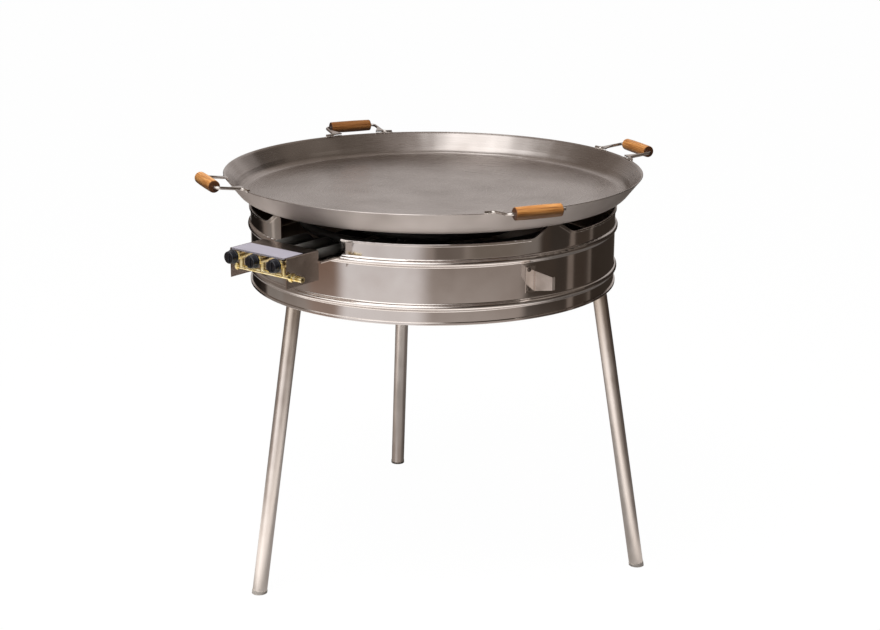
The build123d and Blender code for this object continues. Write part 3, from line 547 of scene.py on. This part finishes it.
# Pan
pan = {
    "base": 854.6, "depth": 52.3, "flatRadius": 423.0, "bendRadius": 32.0, "flare": 38.5,
    "sheet": 2.5, "segments": 288, "floorRings": 12, "bendSteps": 10, "wallSteps": 8,
    "lipGround": 1.6, "lipSlope": 40.0,  # how far down the lip is ground, and which way the slope faces
    "lipBroken": 0.25, "lipFlat": 0.4,  # the inner corner's broken edge, down the wall and across the lip
}


def panFace(size, offset):
    # one face of the pan's sheet from its middle to its lip, as (radius, height) points
    points = [(size["flatRadius"] * i / size["floorRings"], size["base"] + offset)
              for i in range(size["floorRings"])]
    bend = size["bendRadius"] - offset
    full = math.radians(90 - size["flare"])
    for i in range(size["bendSteps"] + 1):
        turn = full * i / size["bendSteps"]
        points.append((size["flatRadius"] + bend * math.sin(turn),
                       size["base"] + size["bendRadius"] - bend * math.cos(turn)))
    foot, flare = points[-1], math.radians(size["flare"])
    climb = size["base"] + size["depth"] - foot[1]
    for i in range(1, size["wallSteps"] + 1):
        share = climb * i / size["wallSteps"]
        points.append((foot[0] + share * math.tan(flare), foot[1] + share))
    return points


def groundLip(outer, inner, size):
    # the lip's outer corner is ground to a narrow slope that catches the light, the inner one only broken
    flare, slope = math.radians(size["flare"]), math.radians(size["lipSlope"])
    drop = size["lipGround"] * math.cos(flare)
    low = (outer[0] - size["lipGround"] * math.sin(flare), outer[1] - drop)
    high = (low[0] - drop * math.tan(slope), outer[1])
    back = (inner[0] - size["lipBroken"] * math.sin(flare), inner[1] - size["lipBroken"] * math.cos(flare))
    return [low, high, (inner[0] + size["lipFlat"], inner[1]), back]


outerFace, innerFace = panFace(pan, 0), panFace(pan, pan["sheet"])
panProfile = outerFace[:-1] + groundLip(outerFace[-1], innerFace[-1], pan) + innerFace[-2::-1]
panVerts, panFaces = lathe(panProfile, pan["segments"], closed=False)
panShell = makePiece("pan_shell", panVerts, panFaces, panSteel, "pan", ["pan_body"])
outside = panShell.data.attributes.new("outside", "FLOAT", "FACE")  # its steel is duller outside
outside.data.foreach_set("value", [1.0 if face.normal.z < 0 else 0.0 for face in panShell.data.polygons])
print("pan made")

# Grips
grip = {
    "count": 4, "firstAzimuth": 61.9, "tilt": 6.8, "reach": 57.9, "footReach": 478.44, "footHeight": 910.2,
    "length": 106.0, "middleRadius": 14.15, "endRadius": 13.55, "round": 2.0, "bore": 3.6,
    "segments": 64, "rings": 40, "roundSteps": 6,
    "grainShift": 50,  # each grip shows the wood this much further in
    # each piece of wood has its own colour, and the third, on the back grip, is much darker as painted shade
    "tonesAndShade": [(1.0, 1.0, 1.0, 1.0), (0.95, 0.95, 0.95, 1.0), (0.42, 0.38, 0.36, 1.0), (1.02, 1.06, 1.1, 1.0)],
}


def gripProfile(size):
    # (radius, place along the grip): barrel with rounded ends and a bore for the rod
    half, edge = size["length"] / 2, size["round"]
    sag = size["middleRadius"] - size["endRadius"]
    turns = [math.pi / 2 * i / size["roundSteps"] for i in range(size["roundSteps"] + 1)]
    rounded = [(size["endRadius"] - edge + edge * math.sin(turn), half - edge + edge * math.cos(turn))
               for turn in turns]
    points = [(size["bore"], -half)] + [(radius, -place) for radius, place in rounded]
    run = half - edge
    for i in range(1, size["rings"]):
        place = -run + 2 * run * i / size["rings"]
        points.append((size["middleRadius"] - sag * (place / run) ** 2, place))
    return points + rounded[::-1] + [(size["bore"], half)]


def makeGrip(index, size):
    azimuth = size["firstAzimuth"] + 360 / size["count"] * index
    tilt = math.radians(size["tilt"])
    along = sideways(azimuth)
    slope = outward(azimuth) * math.cos(tilt) + Vector((0, 0, math.sin(tilt)))
    centre = outward(azimuth) * size["footReach"] * mm + Vector((0, 0, size["footHeight"] * mm))
    centre += slope * size["reach"] * mm
    axes = Matrix((slope, along.cross(slope), along)).transposed()
    localVerts, faces = lathe(gripProfile(size), size["segments"])
    verts = [centre + axes @ Vector(v) for v in localVerts]
    piece = makePiece(f"wood_grip_{index + 1}", verts, faces, gripWood, f"grip_{index + 1}",
                      [f"handle_grip_{index + 1}"])
    grain = piece.data.attributes.new("grain", "FLOAT_VECTOR", "POINT")
    for i, vertex in enumerate(piece.data.vertices):
        local = axes.transposed() @ (vertex.co - centre)
        grain.data[i].vector = (local.z, local.x + size["grainShift"] * mm * index, local.y)
    toneAndShade = piece.data.attributes.new("toneAndShade", "FLOAT_COLOR", "POINT")
    toneAndShade.data.foreach_set("color", [c for _ in piece.data.vertices for c in size["tonesAndShade"][index]])


for index in range(grip["count"]):
    makeGrip(index, grip)
print("grips made")

# Welds that hold the handles on the lip, and gas ports in the burner rings
weld = {
    "lipRadius": 478.44, "lipTop": 906.9, "footFrom": 70.0, "footTo": 88.0, "webFrom": 47.0, "webTo": 65.0,
    "aside": 2.3, "footRise": 0.2, "webRise": 0.6, "steps": 4,
    "pitch": 1.5, "ripple": 1.9, "dropScale": (0.8, 1.0, 0.8), "dropSegments": 10, "dropRings": 6,
    "smallest": 0.82, "largest": 1.12, "seed": 4,
}
port = {
    "rings": {"inner": 28, "middle": 56, "outer": 84},
    "radii": {"inner": 100.0, "middle": 200.0, "outer": 300.0},
    "rim": 1.9, "boreShare": 0.55, "rise": 0.5, "sides": 12, "merge": 0.01,
}


def newTree(name, inputs):
    tree = bpy.data.node_groups.new(name, "GeometryNodeTree")
    tree.interface.new_socket("Geometry", in_out="INPUT", socket_type="NodeSocketGeometry")
    sockets = {label: tree.interface.new_socket(label, in_out="INPUT", socket_type=kind).identifier
               for label, kind in inputs.items()}
    tree.interface.new_socket("Geometry", in_out="OUTPUT", socket_type="NodeSocketGeometry")
    return tree, sockets, addNode(tree, "NodeGroupInput").outputs


def closeTree(tree, geometry, metal):
    real = addNode(tree, "GeometryNodeRealizeInstances", {"Geometry": geometry})
    smooth = addNode(tree, "GeometryNodeSetShadeSmooth", {"Geometry": real.outputs[0]})
    finish = addNode(tree, "GeometryNodeSetMaterial", {"Geometry": smooth.outputs[0], "Material": metal})
    addNode(tree, "NodeGroupOutput", {"Geometry": finish.outputs[0]})


def rippleTree(size):
    # paths become rows of overlapping drops of weld metal
    tree, sockets, given = newTree("weldRipples", {
        "Pitch": "NodeSocketFloat", "Ripple": "NodeSocketFloat", "Seed": "NodeSocketInt",
        "Metal": "NodeSocketMaterial"})
    curve = addNode(tree, "GeometryNodeMeshToCurve", {"Mesh": given["Geometry"]})
    dots = addNode(tree, "GeometryNodeResampleCurve", {
        "Curve": curve.outputs[0], "Length": given["Pitch"]}, mode="LENGTH")
    drop = addNode(tree, "GeometryNodeMeshUVSphere", {
        "Segments": size["dropSegments"], "Rings": size["dropRings"], "Radius": given["Ripple"]})
    flat = addNode(tree, "GeometryNodeTransform", {"Geometry": drop.outputs[0], "Scale": size["dropScale"]})
    tangent = addNode(tree, "GeometryNodeInputTangent")
    turned = addNode(tree, "FunctionNodeAlignRotationToVector", {"Vector": tangent.outputs[0]}, axis="X")
    grow = addNode(tree, "FunctionNodeRandomValue", {
        2: size["smallest"], 3: size["largest"], "Seed": given["Seed"]}, data_type="FLOAT")
    row = addNode(tree, "GeometryNodeInstanceOnPoints", {
        "Points": dots.outputs[0], "Instance": flat.outputs[0], "Rotation": turned.outputs[0],
        "Scale": grow.outputs[1]})
    closeTree(tree, row.outputs[0], given["Metal"])
    return tree, sockets


def portTree(size):
    # each point of the ring carries a drilled port with a raised burr round it
    tree, sockets, given = newTree("gasPorts", {
        "Rim": "NodeSocketFloat", "Rise": "NodeSocketFloat", "Sides": "NodeSocketInt",
        "Metal": "NodeSocketMaterial"})
    bore = addNode(tree, "ShaderNodeMath", {0: given["Rim"], 1: size["boreShare"]}, operation="MULTIPLY")
    pair = addNode(tree, "GeometryNodeJoinGeometry")
    for foot in (given["Rim"], 0.0):  # the burr's outer wall, then the pit inside it
        cone = addNode(tree, "GeometryNodeMeshCone", {
            "Vertices": given["Sides"], "Radius Top": bore.outputs[0], "Radius Bottom": foot,
            "Depth": given["Rise"]}, fill_type="NONE")
        tree.links.new(cone.outputs["Mesh"], pair.inputs[0])
    merged = addNode(tree, "GeometryNodeMergeByDistance", {
        "Geometry": pair.outputs[0], "Distance": size["merge"] * mm})
    row = addNode(tree, "GeometryNodeInstanceOnPoints", {
        "Points": given["Geometry"], "Instance": merged.outputs[0]})
    closeTree(tree, row.outputs[0], given["Metal"])
    return tree, sockets


def grownPiece(name, verts, edges, treeAndSockets, values, body):
    # the tree grows the piece on a start mesh, and what it grew is kept as a plain mesh
    tree, sockets = treeAndSockets
    start = bpy.data.meshes.new(name + "Start")
    start.from_pydata([tuple(v) for v in verts], edges, [])
    carrier = addObject(name + "Start", start)
    growth = carrier.modifiers.new("growth", "NODES")
    growth.node_group = tree
    for label, value in values.items():
        growth[sockets[label]] = value
    shown = carrier.evaluated_get(bpy.context.evaluated_depsgraph_get())
    mesh = bpy.data.meshes.new_from_object(shown)
    carrier.modifiers.remove(growth)
    bpy.data.objects.remove(carrier)
    mesh.name = name
    return settle(addObject(name, mesh), body)


def weldPaths(size):
    # along both sides of each rod's foot, and along the inner side of each web
    verts, edges = [], []
    foot, web, aside = (size["footFrom"], size["footTo"]), (size["webFrom"], size["webTo"]), size["aside"]
    seams = ((foot, aside, size["footRise"]), (foot, -aside, size["footRise"]),
             (web, -aside, size["webRise"]))
    for index in range(grip["count"]):
        azimuth = grip["firstAzimuth"] + 360 / grip["count"] * index
        for side in (-1, 1):
            for (begin, end), shift, rise in seams:
                first = len(verts)
                for i in range(size["steps"] + 1):
                    place = side * (begin + (end - begin) * i / size["steps"])
                    reach = math.sqrt(size["lipRadius"] ** 2 - place ** 2) + shift
                    verts.append((outward(azimuth) * reach + sideways(azimuth) * place) * mm
                                 + Vector((0, 0, (size["lipTop"] + rise) * mm)))
                edges += [(first + i, first + i + 1) for i in range(size["steps"])]
    return verts, edges


weldVerts, weldEdges = weldPaths(weld)
grownPiece("handle_welds", weldVerts, weldEdges, rippleTree(weld),
           {"Pitch": weld["pitch"] * mm, "Ripple": weld["ripple"] * mm, "Seed": weld["seed"],
            "Metal": weldSteel}, "pan")
portVerts = []
for ring, count in port["rings"].items():
    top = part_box(f"burner_ring_{ring}")[1][2]
    for i in range(count):
        portVerts.append(outward(360 * (i + 0.5) / count) * port["radii"][ring] * mm + Vector((0, 0, top)))
grownPiece("gas_ports", portVerts, [], portTree(port),
           {"Rim": port["rim"] * mm, "Rise": port["rise"] * mm, "Sides": port["sides"],
            "Metal": stovePaint}, "stand")
print("welds and ports made")

# Studio: white for the camera, and soft grey surroundings for the metal to show
studio = {
    "floorSize": 30.0, "shadow": 0.10,  # metres, share of the floor that takes shadow
    "floorShade": "#6E6B68", "floorGlow": 1.1,
    "base": "#A0958E",
    "diffuse": "#4A4745",  # even light on what isn't metal
    # name: bearing right of the camera, elevation, full angle, fading angle (degrees), colour, strength
    "patches": {
        "darkRoom": (43, 22, 25, 35, "#3A332E", 1.0),
        "back": (180, 16, 20, 50, "#CFC9C6", 1.0),
        "leftSide": (-110, 12, 20, 58, "#857A72", 1.0),
        "rightWall": (98, 41, 26, 48, "#70675F", 1.0),
        "rightSide": (94, -18, 31, 38, "#463D36", 1.0),
        "rightBack": (141, -16, 23, 29, "#3A332D", 1.0),
        "rightDark": (126, 16, 10, 20, "#2E2823", 1.0),
        "frontLeft": (-36, -16, 22, 36, "#ECE8E8", 1.0),
        "farLeft": (-139, -16, 7, 13, "#302A26", 1.0),
        "farLeftHigh": (-151, -5, 13, 18, "#1F1B18", 1.0),
        "leftGleam": (-117, -16, 7, 12, "#8F8882", 1.0),
        "frontRoom": (10, -4, 7, 11, "#7A7069", 1.0),
        "cornerLight": (61, -5, 5, 10, "#857E78", 1.0),
        "rightRoom": (87, -3, 9, 14, "#3E3833", 1.0),
        "rightFloor": (142, -50, 20, 36, "#342E29", 1.0),
        "backHigh": (146, 52, 12, 25, "#968C84", 1.0),
        "roofBack": (-153, 71, 4, 10, "#FFFFFF", 3.0),
        "rightSky": (78, 38, 7, 15, "#B9B0A8", 1.0),
        "leftWindow": (-28, 14, 12, 17, "#F4F0EE", 1.0),
        "frontSky": (-15, 28, 16, 25, "#FFFFFF", 2.0),
        "leftSky": (-52, 28, 20, 36, "#FFFFFF", 2.1),
        "roofWindow": (-34, 59, 14, 21, "#FFFFFF", 2.4),
    },
    # name: bearing, lowest and highest elevation, half width (degrees), colour
    "strips": {
        "doorway": (95, -22, -6, 2.4, "#857A72"),
        "doorEdge": (115, -24, 0, 1.6, "#6E655E"),
        "leftPost": (-71, -34, -2, 10.5, "#8C7466"),
        "leftPane": (-116, -13, 2, 1.4, "#C6BEB6"),
        "frontBand": (38, -11.5, 4, 15, "#81786F"),
    },
    # how a strip fades: across in half widths, up and down in degrees, and from behind by its cosine
    "stripFade": {"sideOut": 1.6, "sideIn": 0.6, "low": 2, "high": 3, "aheadFrom": 0.1, "aheadFull": 0.2},
    "litFloor": {"radius": 3.0, "farShare": 0.09, "farFull": 2.2, "edge": 1.35, "full": 0.9,
                 "shade": 0.42, "shadeEnd": 0.85, "low": 0.42, "strength": 1.65, "segments": 64,
                 "colour": "#FFFAF6", "bearing": -19, "offset": 0.75, "sunk": 0.0005},  # lengths in metres
    "aim": 0.75,  # the height that the softboxes face, in metres, and their power in watts
    "key": {"bearing": -34, "elevation": 62, "distance": 3.2, "width": 1.6, "height": 1.6, "power": 175},
    "fill": {"bearing": 60, "elevation": 66, "distance": 3.6, "width": 1.6, "height": 1.6, "power": 25},
}


def sine(angle):
    return math.sin(math.radians(angle))


def bearing(angle, elevation):
    # direction as seen from the drum, with bearings counted from the camera's side
    level = math.cos(math.radians(elevation))
    return outward(cameraSetup["azimuth"] + angle) * level + Vector((0, 0, sine(elevation)))


def makeWorld(setup):
    # patches and strips lie over each other in order, and only the metal shows them
    world = bpy.data.worlds.new("studioWorld")
    bpy.context.scene.world = world
    world.use_nodes = True
    tree = world.node_tree
    tree.nodes.clear()
    direction = addNode(tree, "ShaderNodeTexCoord").outputs["Generated"]
    colour = linear(setup["base"])
    for angle, elevation, full, fade, hexColour, strength in setup["patches"].values():
        near = addNode(tree, "ShaderNodeVectorMath", {0: direction, 1: bearing(angle, elevation)},
                       operation="DOT_PRODUCT")
        share = addNode(tree, "ShaderNodeMapRange", {
            "Value": near.outputs["Value"], "From Min": math.cos(math.radians(fade)),
            "From Max": math.cos(math.radians(full))}, interpolation_type="SMOOTHSTEP")
        lit = [c * strength for c in linear(hexColour)[:3]] + [1.0]
        colour = addNode(tree, "ShaderNodeMix", {"Factor": share.outputs["Result"], "A": colour, "B": lit},
                         data_type="RGBA").outputs["Result"]
    height = addNode(tree, "ShaderNodeSeparateXYZ", {"Vector": direction}).outputs["Z"]
    soft = setup["stripFade"]
    for angle, low, high, width, hexColour in setup["strips"].values():
        ahead = addNode(tree, "ShaderNodeVectorMath", {0: direction, 1: bearing(angle, 0)},
                        operation="DOT_PRODUCT")
        aside = addNode(tree, "ShaderNodeVectorMath", {0: direction, 1: bearing(angle + 90, 0)},
                        operation="DOT_PRODUCT")
        off = addNode(tree, "ShaderNodeMath", {0: aside.outputs["Value"]}, operation="ABSOLUTE")
        edge = sine(width)
        share = 1.0
        for value, start, end in (
                (off.outputs[0], soft["sideOut"] * edge, soft["sideIn"] * edge),
                (ahead.outputs["Value"], soft["aheadFrom"], soft["aheadFull"]),
                (height, sine(low - soft["low"]), sine(low + soft["low"])),
                (height, sine(high + soft["high"]), sine(high - soft["high"]))):
            fade = addNode(tree, "ShaderNodeMapRange", {"Value": value, "From Min": start, "From Max": end},
                           interpolation_type="SMOOTHSTEP")
            share = addNode(tree, "ShaderNodeMath", {0: share, 1: fade.outputs["Result"]},
                            operation="MULTIPLY").outputs[0]
        colour = addNode(tree, "ShaderNodeMix", {"Factor": share, "A": colour, "B": linear(hexColour)},
                         data_type="RGBA").outputs["Result"]
    path = addNode(tree, "ShaderNodeLightPath")
    surround = addNode(tree, "ShaderNodeBackground", {"Color": colour})
    white = addNode(tree, "ShaderNodeBackground", {"Color": (1, 1, 1, 1)})
    even = addNode(tree, "ShaderNodeBackground", {"Color": linear(setup["diffuse"])})
    mirrored = addNode(tree, "ShaderNodeMixShader",
                       {0: path.outputs["Is Glossy Ray"], 1: even.outputs[0], 2: surround.outputs[0]})
    chosen = addNode(tree, "ShaderNodeMixShader",
                     {0: path.outputs["Is Camera Ray"], 1: mirrored.outputs[0], 2: white.outputs[0]})
    addNode(tree, "ShaderNodeOutputWorld", {"Surface": chosen.outputs[0]})


def makeFloor(setup):
    # white to the camera apart from a soft shadow, and clear from below to show the underside
    material, tree, shader, _ = newMaterial("studioFloor")
    tree.nodes.remove(shader)
    seen = addNode(tree, "ShaderNodeLightPath").outputs["Is Camera Ray"]
    plain = addNode(tree, "ShaderNodeBsdfDiffuse", {"Color": linear(setup["floorShade"])})
    white = addNode(tree, "ShaderNodeEmission", {"Color": (1, 1, 1, 1), "Strength": setup["floorGlow"]})
    share = addNode(tree, "ShaderNodeMath", {0: seen, 1: 1 - setup["shadow"]}, operation="MULTIPLY")
    mixed = addNode(tree, "ShaderNodeMixShader",
                    {0: share.outputs[0], 1: plain.outputs[0], 2: white.outputs[0]})
    under = addNode(tree, "ShaderNodeNewGeometry").outputs["Backfacing"]
    clear = addNode(tree, "ShaderNodeBsdfTransparent")
    oneSided = addNode(tree, "ShaderNodeMixShader", {0: under, 1: mixed.outputs[0], 2: clear.outputs[0]})
    feed(tree, tree.nodes["Material Output"], {"Surface": oneSided.outputs[0]})
    half = setup["floorSize"] / 2
    corners = [(-half, -half, 0), (half, -half, 0), (half, half, 0), (-half, half, 0)]
    mesh = bpy.data.meshes.new("studioFloor")
    mesh.from_pydata(corners, [], [(0, 1, 2, 3)])
    mesh.materials.append(material)
    floor = addObject("studioFloor", mesh)
    floor.visible_glossy = False  # the metal shows the surroundings instead


def makeLitFloor(setup):
    # the pale floor round the legs, as the metal shows it, with shade under the drum
    material, tree, shader, place = newMaterial("litFloor")
    tree.nodes.remove(shader)
    middle = outward(cameraSetup["azimuth"] + setup["bearing"]) * setup["offset"]
    distance = addNode(tree, "ShaderNodeVectorMath", {0: place}, operation="LENGTH")
    near = addNode(tree, "ShaderNodeMapRange", {
        "Value": distance.outputs["Value"], "From Min": setup["edge"], "From Max": setup["full"]},
        interpolation_type="SMOOTHSTEP")
    far = addNode(tree, "ShaderNodeMapRange", {
        "Value": distance.outputs["Value"], "From Min": setup["radius"], "From Max": setup["farFull"],
        "To Max": setup["farShare"]}, interpolation_type="SMOOTHSTEP")
    share = addNode(tree, "ShaderNodeMath", {0: near.outputs["Result"], 1: far.outputs["Result"]},
                    operation="MAXIMUM")
    spot = addNode(tree, "ShaderNodeVectorMath", {0: place, 1: middle}, operation="ADD")
    fromDrum = addNode(tree, "ShaderNodeVectorMath", {0: spot.outputs[0]}, operation="LENGTH")
    lit = addNode(tree, "ShaderNodeMapRange", {
        "Value": fromDrum.outputs["Value"], "From Min": setup["shade"], "From Max": setup["shadeEnd"],
        "To Min": setup["low"], "To Max": setup["strength"]}, interpolation_type="SMOOTHSTEP")
    clear = addNode(tree, "ShaderNodeBsdfTransparent")
    glow = addNode(tree, "ShaderNodeEmission", {
        "Color": linear(setup["colour"]), "Strength": lit.outputs["Result"]})
    mixed = addNode(tree, "ShaderNodeMixShader",
                    {0: share.outputs[0], 1: clear.outputs[0], 2: glow.outputs[0]})
    feed(tree, tree.nodes["Material Output"], {"Surface": mixed.outputs[0]})
    verts, faces = lathe([(0, 0), (setup["radius"] / mm, 0)], setup["segments"], closed=False)
    mesh = bpy.data.meshes.new("litFloor")
    mesh.from_pydata(verts, [], faces)
    mesh.materials.append(material)
    floor = addObject("litFloor", mesh)
    floor.location = middle - Vector((0, 0, setup["sunk"]))
    floor.visible_camera = floor.visible_diffuse = floor.visible_shadow = False


def makeSoftbox(name, setup, aim):
    data = bpy.data.lights.new(name, "AREA")
    data.shape = "RECTANGLE"
    data.size, data.size_y = setup["width"], setup["height"]
    data.energy = setup["power"]
    lamp = addObject(name, data)
    away = bearing(setup["bearing"], setup["elevation"])
    lamp.location = Vector((0, 0, aim)) + away * setup["distance"]
    lamp.rotation_euler = (-away).to_track_quat("-Z", "Y").to_euler()
    lamp.visible_glossy = False


makeWorld(studio)
makeFloor(studio)
makeLitFloor(studio["litFloor"])
makeSoftbox("keySoftbox", studio["key"], studio["aim"])
makeSoftbox("fillSoftbox", studio["fill"], studio["aim"])
print("studio made")
